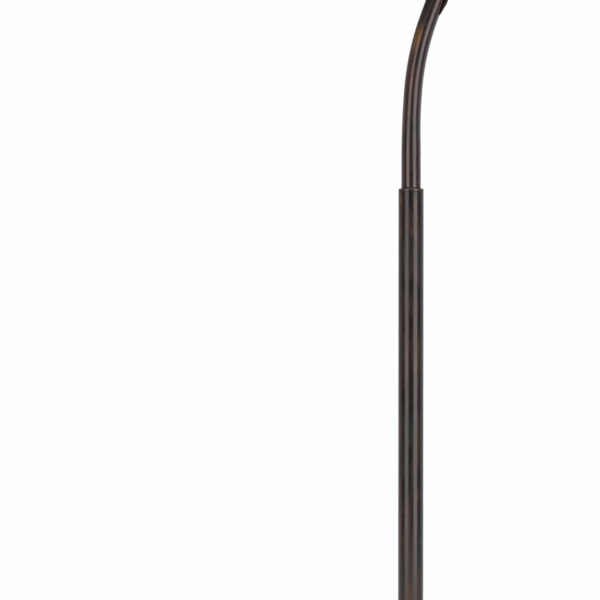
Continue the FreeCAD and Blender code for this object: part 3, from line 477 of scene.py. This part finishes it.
def finish_mesh(mesh):
    """Joins doubled points, turns the faces outward, shades smooth and keeps the hard edges hard."""
    shell = bmesh.new()
    shell.from_mesh(mesh)
    bmesh.ops.remove_doubles(shell, verts=shell.verts, dist=SAME_POINT)
    bmesh.ops.recalc_face_normals(shell, faces=shell.faces)
    for face in shell.faces:
        face.smooth = True
    for edge in shell.edges:
        edge.smooth = len(edge.link_faces) == 2 and edge.calc_face_angle() < HARD_EDGE
    shell.to_mesh(mesh)
    shell.free()


def put(mesh, material, body, slot, *stands_for):
    """Shows a mesh as a piece that rides on a body and stands for the nodes named last."""
    finish_mesh(mesh)
    shown = bpy.data.objects.new(mesh.name, mesh)
    scene.collection.objects.link(shown)
    mesh.materials.append(material)
    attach(shown, body)
    if stands_for:
        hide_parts(*stands_for)
    return shown


def round_turns(count):
    """Angles of so many even steps once round."""
    return [math.tau * k / count for k in range(count)]


def eased(corners, closed=True, steps=4):
    """Outline of (r, z) points. A third number at a corner is the radius that it is rounded to."""
    outline = []
    count = len(corners)
    for i, corner in enumerate(corners):
        here = Vector(corner[:2])
        at_end = not closed and i in (0, count - 1)
        if len(corner) < 3 or at_end:
            outline.append(here)
            continue
        back = (Vector(corners[i - 1][:2]) - here).normalized()
        on = (Vector(corners[(i + 1) % count][:2]) - here).normalized()
        half = back.angle(on) / 2
        centre = here + (back + on).normalized() * corner[2] / math.sin(half)
        reach = corner[2] / math.tan(half)
        first, last = here + back * reach - centre, here + on * reach - centre
        outline += [centre + first.slerp(last, step / steps) * corner[2] for step in range(steps + 1)]
    return outline


def bow(start, end, bulge, steps=14):
    """Points on an arc from one (r, z) to another, without its ends. The bulge is to the left of the way."""
    start, end = Vector(start), Vector(end)
    chord = end - start
    side = Vector((-chord.y, chord.x)).normalized()
    radius = (chord.length ** 2 / 4 + bulge ** 2) / (2 * abs(bulge))
    spread = 2 * math.asin(chord.length / 2 / radius)
    middle = start + chord / 2 + side * (bulge - math.copysign(radius, bulge))
    points = []
    for k in range(1, steps):
        angle = spread * (k / steps - 0.5)
        out = side * math.copysign(radius * math.cos(angle), bulge)
        points.append(tuple(middle + out + chord.normalized() * radius * math.sin(angle)))
    return points


def thin_wall(profile, wall):
    """Closed outline of an even wall that lies to the left of an open profile."""
    inner = []
    for i, point in enumerate(profile):
        back = profile[max(i - 1, 0)]
        on = profile[min(i + 1, len(profile) - 1)]
        way = (on - back).normalized()
        inner.append(point + Vector((-way.y, way.x)) * wall)
    return profile + inner[::-1]


def turned(name, outline, x=0.0, segments=96, closed=True):
    """Mesh of a piece of revolution about the vertical line at x."""
    rows = [[(x + r * math.cos(turn), r * math.sin(turn), z) for r, z in outline]
            for turn in round_turns(segments)]
    return grid_mesh(name, rows, wrap_rows=True, wrap_columns=closed)


# ================================================================ base and pole
BASE_SEGMENTS = 160


def base_pad():
    """Felt ring under the base, with its edges pressed round."""
    low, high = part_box("base_pad")
    hole, rim = 24.0 * MM, high.x
    soft, pressed = 0.7 * MM, 0.4 * MM
    outline = [(hole, low.z, soft), (rim, low.z, soft), (rim, high.z, pressed), (hole, high.z, pressed)]
    mesh = turned("base_pad_felt", eased(outline), segments=BASE_SEGMENTS)
    put(mesh, FELT, "stand", "felt", "base_pad")


def drilled(mesh, centre, radius, length, sides=48):
    """The mesh with a round hole cut through it along Y."""
    turns = round_turns(sides)
    rows = [[(centre.x + radius * math.cos(turn), y, centre.z + radius * math.sin(turn)) for turn in turns]
            for y in (centre.y - length / 2, centre.y + length / 2)]
    drill = grid_mesh("drill", rows, wrap_rows=False, wrap_columns=True, capped=True)
    shapes = []
    for shape in (mesh, drill):
        finish_mesh(shape)
        shapes.append(bpy.data.objects.new(shape.name, shape))
        scene.collection.objects.link(shapes[-1])
    whole, tool = shapes
    whole.modifiers.new("hole", "BOOLEAN").object = tool
    bpy.context.view_layer.update()
    seen = whole.evaluated_get(bpy.context.evaluated_depsgraph_get())
    cut = bpy.data.meshes.new_from_object(seen)
    cut.name = mesh.name + "_drilled"
    for shape in shapes:
        bpy.data.objects.remove(shape)
    return cut


def base_cover():
    """Spun cover: a rim, a flange and three sweeps up to a flat crown, with the inlet's hole at the back."""
    low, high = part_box("base_cover")
    wall, hole = 1.2 * MM, 5.0 * MM
    rim = (high.x, 15.0 * MM)
    flange = (126.0 * MM, 16.0 * MM)
    sweep = (70.0 * MM, 24.0 * MM)
    step = (62.0 * MM, 31.0 * MM)
    crown = (24.0 * MM, high.z)
    profile = [(high.x, low.z), (*rim, 4.0 * MM), (*flange, 6.0 * MM)]
    profile += bow(flange, sweep, 1.5 * MM)
    profile += [sweep]
    profile += bow(sweep, step, -1.6 * MM)
    profile += [step]
    profile += bow(step, crown, -1.1 * MM)
    profile += [crown, (hole, high.z)]
    outline = thin_wall(eased(profile, closed=False), wall)
    cover = turned("base_cover_spun", outline, segments=BASE_SEGMENTS)

    inlet_low, inlet_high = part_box("flex_inlet_bush")
    inlet = Vector((0, high.x, (inlet_low.z + inlet_high.z) / 2))
    inlet_r, drill_l = 4.55 * MM, 12.0 * MM
    put(drilled(cover, inlet, inlet_r, drill_l), BRONZE, "stand", "rust_bronze", "base_cover")


def pole_tube(name, node):
    """One length of the pole, with its outer edges just broken."""
    low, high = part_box(node)
    inner = POLE_R - POLE_WALL
    edge = 0.15 * MM
    outline = eased([(inner, low.z), (POLE_R, low.z, edge), (POLE_R, high.z, edge), (inner, high.z)])
    put(turned(name, outline), BRONZE_POLE, "stand", "rust_bronze", node)


def end_ring():
    """Ring that closes the pole, with a rounded outer edge. Its foot is a plug inside the pole."""
    low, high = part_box("pole_end_ring")
    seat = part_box("pole_upper")[1].z
    hole, plug_r = ARM_R + 0.25 * MM, POLE_R - POLE_WALL - FIT
    under, outer, inner = 0.25 * MM, 0.9 * MM, 0.3 * MM
    outline = [(hole, low.z), (plug_r, low.z), (plug_r, seat), (POLE_R, seat, under), (POLE_R, high.z, outer),
               (hole, high.z, inner)]
    mesh = turned("pole_end_ring_turned", eased(outline, steps=6), segments=128)
    put(mesh, BRONZE_RING, "stand", "rust_bronze", "pole_end_ring")


def neck_collar():
    """Collar at the pole's foot: a hollow sweep from a wide foot to a waist, and a bead above it."""
    low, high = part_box("neck_collar")
    bore, foot_r, waist_r, bead_r = POLE_R + FIT, 23.0 * MM, 15.4 * MM, 16.6 * MM
    foot, waist = (foot_r, low.z + 2.5 * MM), (waist_r, low.z + 20.0 * MM)
    outline = [(bore, low.z), (foot_r, low.z, 0.4 * MM), (*foot, 0.8 * MM)]
    outline += bow(foot, waist, 2.6 * MM)
    outline += [waist]
    outline += bow(waist, (waist_r, high.z), -(bead_r - waist_r))
    outline += [(waist_r, high.z), (bore, high.z, 0.3 * MM)]
    put(turned("neck_collar_turned", eased(outline)), BRONZE, "stand", "rust_bronze", "neck_collar")


# ================================================================ arm
ARM_SEGMENTS = 64
ARM_STEP = 4.0 * MM
STRAP_STEP = 1.2 * MM


def walk(start, lean, moves, step):
    """Places (point, lean in degrees, distance) along a route of (length, turn) moves in the plane y = 0."""
    point, gone = Vector(start), 0.0
    places = [(point.copy(), lean, gone)]
    for length, turn in moves:
        count = max(1, math.ceil(length / step))
        part, bit = turn / count, length / count
        half = math.radians(abs(part)) / 2
        chord = bit * (math.sin(half) / half if half else 1.0)
        for _ in range(count):
            point = point + ahead(lean + part / 2) * chord
            lean += part
            gone += bit
            places.append((point.copy(), lean, gone))
    return places


def ahead(lean):
    """Direction of a route that leans so many degrees from upright towards +X."""
    return Vector((math.sin(math.radians(lean)), 0, math.cos(math.radians(lean))))


def right(lean):
    """Direction to the right of that route, as the camera sees it."""
    return Vector((math.cos(math.radians(lean)), 0, -math.sin(math.radians(lean))))


def arc(radius, turn):
    """Move along an arc."""
    return radius * math.radians(abs(turn)), turn


TO_LEAN = [(STUB_L + STRAIGHT_L, 0.0), arc(EASE_R, EASE_TURN), arc(LEAN_R, LEAN_TURN)]
TO_TIP = [(LEAN_L, 0.0), arc(RISE_R, -EASE_TURN - LEAN_TURN), arc(HOOK_R, -HOOK_TURN),
          (TAIL_L, 0.0), (TIP_L, 0.0)]


def smooth(value):
    """Eases from 0 to 1 as the value does, and stays there outside."""
    value = min(1.0, max(0.0, value))
    return value * value * (3 - 2 * value)


def arm_tube():
    """Bent tube, round at both ends and slightly oval in its bends."""
    low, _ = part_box("arm_tube")
    places = walk((0, 0, low.z), 0.0, TO_LEAN + TO_TIP, ARM_STEP)
    total = places[-1][2]
    turns = round_turns(ARM_SEGMENTS)
    outer, inner, grain = [], [], []
    for point, lean, gone in places:
        oval = smooth((gone - STUB_L - OVAL_START) / OVAL_NECK_L) * smooth((total - TIP_L - gone) / TAIL_L)
        for rows, radius in ((outer, ARM_R), (inner, ARM_R - ARM_WALL)):
            narrow, wide = radius - ARM_OVAL * oval, radius + ARM_OVAL * oval
            rows.append([point + right(lean) * narrow * math.cos(turn) + ALONG_Y * wide * math.sin(turn)
                         for turn in turns])
        grain.append([(ARM_R * math.cos(turn), ARM_R * math.sin(turn), gone) for turn in turns])
    mesh = grid_mesh("arm_tube_bent", outer + inner[::-1], wrap_rows=True, wrap_columns=True)
    label(mesh, GRAIN, [place for row in grain + grain[::-1] for place in row])
    put(mesh, BRONZE_ARM, "arm", "rust_bronze", "arm_tube")


def flat_bar(thick, width, corner, steps=4):
    """Section of a flat bar with rounded corners, as (across, wide) points. across runs from 0 to thick.

    A point close to each side of a rounded corner keeps the flats flat in smooth shading.
    """
    near, far, side = corner, thick - corner, width / 2 - corner
    points = []
    for across, wide, first in ((far, side, 0), (near, side, 90), (near, -side, 180), (far, -side, 270)):
        turns = [math.radians(first + 90 * k / steps) for k in range(steps + 1)]
        rounding = [Vector((across + corner * math.cos(turn), wide + corner * math.sin(turn)))
                    for turn in turns]
        ease = (rounding[0] - rounding[1]).length
        before = Vector((math.sin(turns[0]), -math.cos(turns[0]))) * ease
        after = Vector((-math.sin(turns[-1]), math.cos(turns[-1]))) * ease
        points += [rounding[0] + before, *rounding, rounding[-1] + after]
    return points


def arm_scroll():
    """Flat bar forged to a thin start and a thinned inner end. It starts along the arm and curls away."""
    low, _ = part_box("arm_tube")
    point, lean, _ = walk((0, 0, low.z), 0.0, TO_LEAN, step=2.0 * MM)[-1]
    face_off = ARM_R - ARM_OVAL + FIT
    start = point + ahead(lean) * STRAP_START + right(lean) * face_off
    moves = [(STRAP_TAPER, 0.0), (LEAN_L - STRAP_START + STRAP_LEAVE - STRAP_TAPER, 0.0)]
    moves += [arc(CURL_R * CURL_SHRINK ** k, CURL_TURN) for k in range(CURL_ARCS)]
    places = walk(start, lean, moves, STRAP_STEP)
    total = places[-1][2]
    rows, grain = [], []
    for point, lean, gone in places:
        ending = smooth((gone - total + STRAP_END_L) / STRAP_END_L)
        thick = STRAP_POINT + (STRAP_T - STRAP_POINT) * min(1.0, gone / STRAP_TAPER)
        thick += (STRAP_END_T - STRAP_T) * ending
        narrowed = STRAP_NARROW * (1 - smooth(gone / STRAP_TAPER) + ending)
        section = flat_bar(thick, STRAP_W * (1 - narrowed), STRAP_ROUNDING * thick)
        rows.append([point + right(lean) * across + ALONG_Y * wide for across, wide in section])
        grain += [(across, wide, gone) for across, wide in section]
    mesh = grid_mesh("arm_scroll_forged", rows, wrap_rows=False, wrap_columns=True, capped=True)
    label(mesh, GRAIN, grain)
    put(mesh, BRONZE_STRAP, "arm", "rust_bronze", "arm_scroll")


def arm_ferrule():
    """Cap at the arm's tip, chamfered round the tube, with a floor that the yoke hangs from."""
    low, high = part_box("arm_ferrule")
    x = (low.x + high.x) / 2
    rim, hole, tube_hole = (high.x - low.x) / 2, 5.0 * MM, ARM_R + FIT
    floor_z, waist_z, shoulder_z = low.z + 3.0 * MM, low.z + 6.0 * MM, high.z - 2.8 * MM
    lip = 1.4 * MM
    outline = [(hole, low.z), (rim, low.z, 1.4 * MM), (rim, waist_z), (rim, shoulder_z, 0.8 * MM),
               (tube_hole + lip, high.z, 0.5 * MM), (tube_hole, high.z),
               (tube_hole, floor_z), (hole, floor_z)]
    mesh = turned("arm_ferrule_turned", eased(outline, steps=6), x)
    put(mesh, BRONZE, "arm", "rust_bronze", "arm_ferrule")


# ================================================================ socket and bulb
def head_x():
    """Where the head's upright axis stands."""
    return joints["head_tilt"]["pos_m"][0]


def socket_cup():
    """Spun cup over the socket, almost straight below and domed above."""
    low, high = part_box("socket_cup")
    wall, hole = 0.9 * MM, 5.0 * MM
    mouth, shoulder, top = (21.0 * MM, low.z), (20.0 * MM, high.z - 25.0 * MM), (9.0 * MM, high.z)
    profile = [mouth, shoulder]
    profile += bow(shoulder, top, -2.4 * MM)
    profile += [(*top, 0.6 * MM), (hole, high.z)]
    outline = thin_wall(eased(profile, closed=False), wall)
    put(turned("socket_cup_spun", outline, head_x()), BRONZE, "head", "rust_bronze", "socket_cup")


def socket_shell():
    """Drawn brass shell with a bead round it."""
    low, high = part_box("socket_shell")
    outer, inner, bead = 16.3 * MM, 15.8 * MM, 17.9 * MM
    bead_low = high.z - 32.0 * MM
    bead_high = bead_low + 1.6 * MM
    outline = [(inner, low.z), (outer, low.z, 0.1 * MM), (outer, bead_low), (bead, bead_low, 0.4 * MM),
               (bead, bead_high, 0.5 * MM), (outer, bead_high), (outer, high.z), (inner, high.z)]
    put(turned("socket_shell_drawn", eased(outline), head_x()), BRASS, "head", "brass", "socket_shell")


def bulb():
    """Blown glass: a ball that runs through a hollow neck into the cap."""
    low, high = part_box("bulb_glass")
    cap_low, cap_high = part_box("bulb_cap")
    wall, radius, neck_r = 0.9 * MM, 30.0 * MM, 12.4 * MM
    ball_steps, ball_turn = 30, math.radians(135)
    centre = low.z + radius
    ball = [(radius * math.sin(turn), centre - radius * math.cos(turn))
            for turn in (ball_turn * k / ball_steps for k in range(ball_steps + 1))]
    neck = (neck_r, cap_low.z)
    profile = [Vector(p) for p in ball + bow(ball[-1], neck, -3.0 * MM) + [neck, (neck_r, high.z)]]
    outline = thin_wall(profile, wall)
    outline[-1].x = 0.0
    mesh = turned("bulb_glass_blown", outline, head_x(), closed=False)
    put(mesh, FROSTED, "bulb", "bulb_glass", "bulb_glass")
    thread_cap(cap_low, cap_high)


def thread_cap(low, high):
    """Rolled screw cap of the bulb: its thread is a true helix pressed into thin metal."""
    pitch, depth, radius = 3.6 * MM, 0.45 * MM, 13.0 * MM
    run_out = 2.0 * MM
    segments, steps = 72, 60
    cone_foot, cone_r, tip_r = high.z - 3.5 * MM, 6.0 * MM, 4.0 * MM
    rows = []
    for turn in round_turns(segments):
        row = []
        for j in range(steps + 1):
            z = low.z + (cone_foot - low.z) * j / steps
            fade = smooth((z - low.z) / run_out) * smooth((cone_foot - z) / run_out)
            wave = 0.5 - 0.5 * math.cos(math.tau * (z / pitch) - turn)
            row.append((radius - depth * wave * fade, z))
        row += [(cone_r, high.z), (tip_r, high.z)]
        rows.append([(head_x() + r * math.cos(turn), r * math.sin(turn), z) for r, z in row])
    mesh = grid_mesh("bulb_cap_threaded", rows, wrap_rows=True, wrap_columns=False)
    put(mesh, BULB_METAL, "bulb", "bulb_base", "bulb_cap")


# ================================================================ shade
SHADE_SEGMENTS = 180
SEAM_AZIMUTH = 90.0
TAPE_JOINT = 4.0               # degrees from the cover's seam to where the tapes meet
BUTT_SPAN = 359.94             # once round, with 0.1 mm left open between the ends


def cone_piece(name, outline, material, slot, *stands_for, first=0.0, span=BUTT_SPAN):
    """Band turned about the head's axis from a closed outline, cut at the seam, with its weave laid out."""
    x = head_x()
    mean_r = sum(r for r, _ in outline) / len(outline)
    segments = max(2, round(SHADE_SEGMENTS * span / 360))
    rows, weave = [], []
    for k in range(segments + 1):
        angle = math.radians(SEAM_AZIMUTH + first + span * k / segments)
        run = 0.0
        row = []
        for j, (r, z) in enumerate(outline):
            if j:
                run += math.hypot(r - outline[j - 1][0], z - outline[j - 1][1])
            row.append((x + r * math.cos(angle), r * math.sin(angle), z))
            weave.append((angle * mean_r, run, 0.0))
        rows.append(row)
    mesh = grid_mesh(name, rows, wrap_rows=False, wrap_columns=True, capped=True)
    label(mesh, WEAVE, weave)
    return put(mesh, material, "head", slot, *stands_for)


def shade():
    """Linen cover on a styrene liner, with an overlapped seam and a folded tape over each edge."""
    low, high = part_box("shade_cover")
    bottom_r = (high.x - low.x) / 2
    slope = (bottom_r - SHADE_TOP_R) / (high.z - low.z)

    def at(z, outset=0.0):
        return Vector((bottom_r - slope * (z - low.z) + outset, z))

    def band(outset, thick, steps):
        outer = [at(low.z + (high.z - low.z) * k / steps, outset) for k in range(steps + 1)]
        inner = [point - Vector((thick, 0)) for point in reversed(outer)]
        return outer + inner

    cover = cone_piece("shade_cover_linen", band(0.0, COVER_T, 24), LINEN, "linen", "shade_cover")
    liner = cone_piece("shade_liner_white", band(-COVER_T - BOND_GAP, LINER_T, 8), STYRENE, "liner",
                       "shade_liner")
    seam_span = math.degrees(SEAM_W / bottom_r)
    seam_outset, seam_t = 0.45 * MM, 0.4 * MM
    overlap = cone_piece("shade_seam_overlap", band(seam_outset, seam_t, 24), LINEN, "linen",
                         first=-seam_span / 2, span=seam_span)
    tapes = [cone_piece("shade_tape_" + name, tape_outline(at, edge, way), TAPE, "trim_tape",
                        "shade_trim_" + name, first=TAPE_JOINT)
             for name, edge, way in (("top", high.z, -1), ("bottom", low.z, 1))]


def tape_outline(at, edge, way):
    """Section of a folded tape over an edge: it lies on the cloth outside, rolls over and tucks in behind.

    at(z, outset) gives a place on the shade's slope, and way is the direction from the edge into the shade.
    """
    tuck, tuck_t, clear = 1.0 * MM, 0.3 * MM, 0.02 * MM
    out = BOND_GAP + TRIM_T
    lined = -COVER_T - BOND_GAP - LINER_T - clear
    behind = lined - tuck_t
    over = edge - way * out
    under = edge - way * BOND_GAP
    hem = edge + way * TRIM_W
    tail = edge + way * tuck
    steps = 6
    points = [at(hem, BOND_GAP)]
    points += [at(edge + way * TRIM_W * k / steps, out) for k in range(steps, -1, -1)]
    # The two corners over the edge are cut off, as the fold rolls there.
    points += [at(over + way * 0.15 * MM, out - 0.2 * MM), at(over, out - 0.5 * MM)]
    points += [at(over, behind + 0.3 * MM), at(over + way * 0.2 * MM, behind), at(tail, behind)]
    points += [at(tail, lined), at(under, lined), at(under, BOND_GAP)]
    return points


# ================================================================ floor, light and camera
PHOTO_WIDTH = 618.6 * MM       # what the picture spans at the pole
PHOTO_X = -114.4 * MM          # its middle
PHOTO_Z = 765.1 * MM
CAMERA_AWAY = 4.0
CAMERA_ROLL = -0.06
CAMERA_SEES = 100.0
SENSOR = 36.0
WHITE = 0.982                  # level of the background

FLOOR_RINGS = (0.0, 0.35, 0.8, 1.4, 2.0, 2.6)
FLOOR_SEGMENTS = 96
FLOOR_GREY = (0.5, 0.5, 0.5, 1.0)
FLOOR_FADE = (0.45, 2.2)       # between these distances the lit floor gives way to plain background
FLOOR_LIFT = 0.55              # share of the background's level that the lit floor shows of itself

# What gloss sees: dark behind the camera, pale walls at the sides and at the back, and a dark ceiling. A fade
# is the part of a direction's x, y or z over which one gives way to the next.
FRONT_DARK = (0.070, 0.070, 0.070)
WALL_LEFT = (0.80, 0.73, 0.69)
WALL_RIGHT = (0.81, 0.85, 0.90)
CEILING = (0.08, 0.08, 0.08)
CEILING_MOST = 0.85
SIDE_FADE = (-0.6, 0.6)
BACK_FADE = (-0.30, 0.38)
CEILING_FADE = (0.06, 0.36)
FILL = (0.42, 0.42, 0.42)      # level of light all round for everything but gloss


def floor():
    """Round floor that takes the lamp's shadow and fades into the background."""
    turns = round_turns(FLOOR_SEGMENTS)
    rows = [[(r * math.cos(turn), r * math.sin(turn), 0.0) for turn in turns] for r in FLOOR_RINGS]
    mesh = grid_mesh("studio_floor", rows, wrap_rows=False, wrap_columns=True)
    finish_mesh(mesh)
    for face in mesh.polygons:
        face.use_smooth = False
    shown = bpy.data.objects.new("studio_floor", mesh)
    scene.collection.objects.link(shown)
    f = Finish("pale_floor", Base_Color=FLOOR_GREY, Roughness=0.9, Specular_IOR_Level=0.0)
    away = f.add("VectorMath", {0: f.place()}, operation="LENGTH").outputs["Value"]
    fade = f.ramp(away, *FLOOR_FADE)
    ray = f.add("LightPath").outputs
    through = f.math("MAXIMUM", ray["Is Glossy Ray"], ray["Is Transmission Ray"])
    seen = f.math("MAXIMUM", ray["Is Camera Ray"], through)
    white = (WHITE, WHITE, WHITE, 1.0)
    veil = f.add("Emission", {"Color": white, "Strength": seen})
    lift = f.add("Emission", {"Color": white, "Strength": f.math("MULTIPLY", seen, FLOOR_LIFT)})
    near = f.add("AddShader", {0: f.shader.outputs[0], 1: lift.outputs[0]})
    both = f.add("MixShader", {0: fade, 1: near.outputs[0], 2: veil.outputs[0]})
    f.feed(f.tree.nodes["Material Output"].inputs["Surface"], both.outputs[0])
    mesh.materials.append(f.material)


def softbox(name, azimuth, distance, height, width, tall, radiance, tilt=0.0):
    """Soft rectangle of light that faces the lamp. Azimuth 0 is the camera's side, and + is to the right."""
    data = bpy.data.lights.new(name, "AREA")
    data.shape = "RECTANGLE"
    data.size, data.size_y = width, tall
    data.energy = radiance * math.pi * width * tall
    lamp = bpy.data.objects.new(name, data)
    turn = math.radians(azimuth)
    lamp.location = (distance * math.sin(turn), -distance * math.cos(turn), height)
    lamp.rotation_euler = (math.radians(90 - tilt), 0, turn)
    lamp.visible_camera = False
    scene.collection.objects.link(lamp)


def lights():
    """One softbox at each side of the camera, for the two streaks down the metal, and one overhead."""
    softbox("softbox_left", azimuth=-40.5, distance=2.0, height=0.75, width=1.15, tall=1.44, radiance=2.75)
    softbox("softbox_right", azimuth=41.0, distance=2.0, height=0.95, width=1.30, tall=1.86, radiance=3.15)
    softbox("softbox_top", azimuth=0.0, distance=0.3, height=3.2, width=1.6, tall=1.6, radiance=1.6,
            tilt=90.0)


def surroundings():
    """Plain level of light all round. The camera sees the white backdrop, and gloss sees the room."""
    world = bpy.data.worlds.new("studio")
    world.use_nodes = True
    scene.world = world
    f = Finish.of_world(world)
    sky = f.tree.nodes["Background"]
    ray = f.add("LightPath").outputs
    towards = f.add("SeparateXYZ", {0: f.add("TexCoord").outputs["Generated"]}).outputs
    wall = f.mix(f.ramp(towards["X"], *SIDE_FADE), WALL_LEFT, WALL_RIGHT)
    overhead = f.ramp(towards["Z"], *CEILING_FADE, 0.0, CEILING_MOST)
    room = f.mix(f.ramp(towards["Y"], *BACK_FADE), FRONT_DARK, f.mix(overhead, wall, CEILING))
    plain = f.mix(ray["Is Glossy Ray"], FILL, room)
    seen = f.math("MAXIMUM", ray["Is Camera Ray"], ray["Is Transmission Ray"])
    f.feed(sky.inputs["Color"], f.mix(seen, plain, (WHITE, WHITE, WHITE)))


def camera():
    """Camera at the photograph's viewing angle, level and straight ahead."""
    data = bpy.data.cameras.new("photo_camera")
    data.sensor_width = SENSOR
    data.lens = SENSOR * CAMERA_AWAY / PHOTO_WIDTH
    data.clip_end = CAMERA_SEES
    shown = bpy.data.objects.new("photo_camera", data)
    shown.location = (PHOTO_X, -CAMERA_AWAY, PHOTO_Z)
    shown.rotation_euler = (math.radians(90), math.radians(CAMERA_ROLL), 0)
    scene.collection.objects.link(shown)
    scene.camera = shown
    scene.view_settings.view_transform = "Standard"


# ================================================================ the whole lamp
dress_frame()
base_pad()
base_cover()
pole_tube("pole_lower_drawn", "pole_lower")
pole_tube("pole_upper_drawn", "pole_upper")
end_ring()
neck_collar()
arm_tube()
arm_scroll()
arm_ferrule()
socket_cup()
socket_shell()
bulb()
shade()
floor()
lights()
surroundings()
camera()
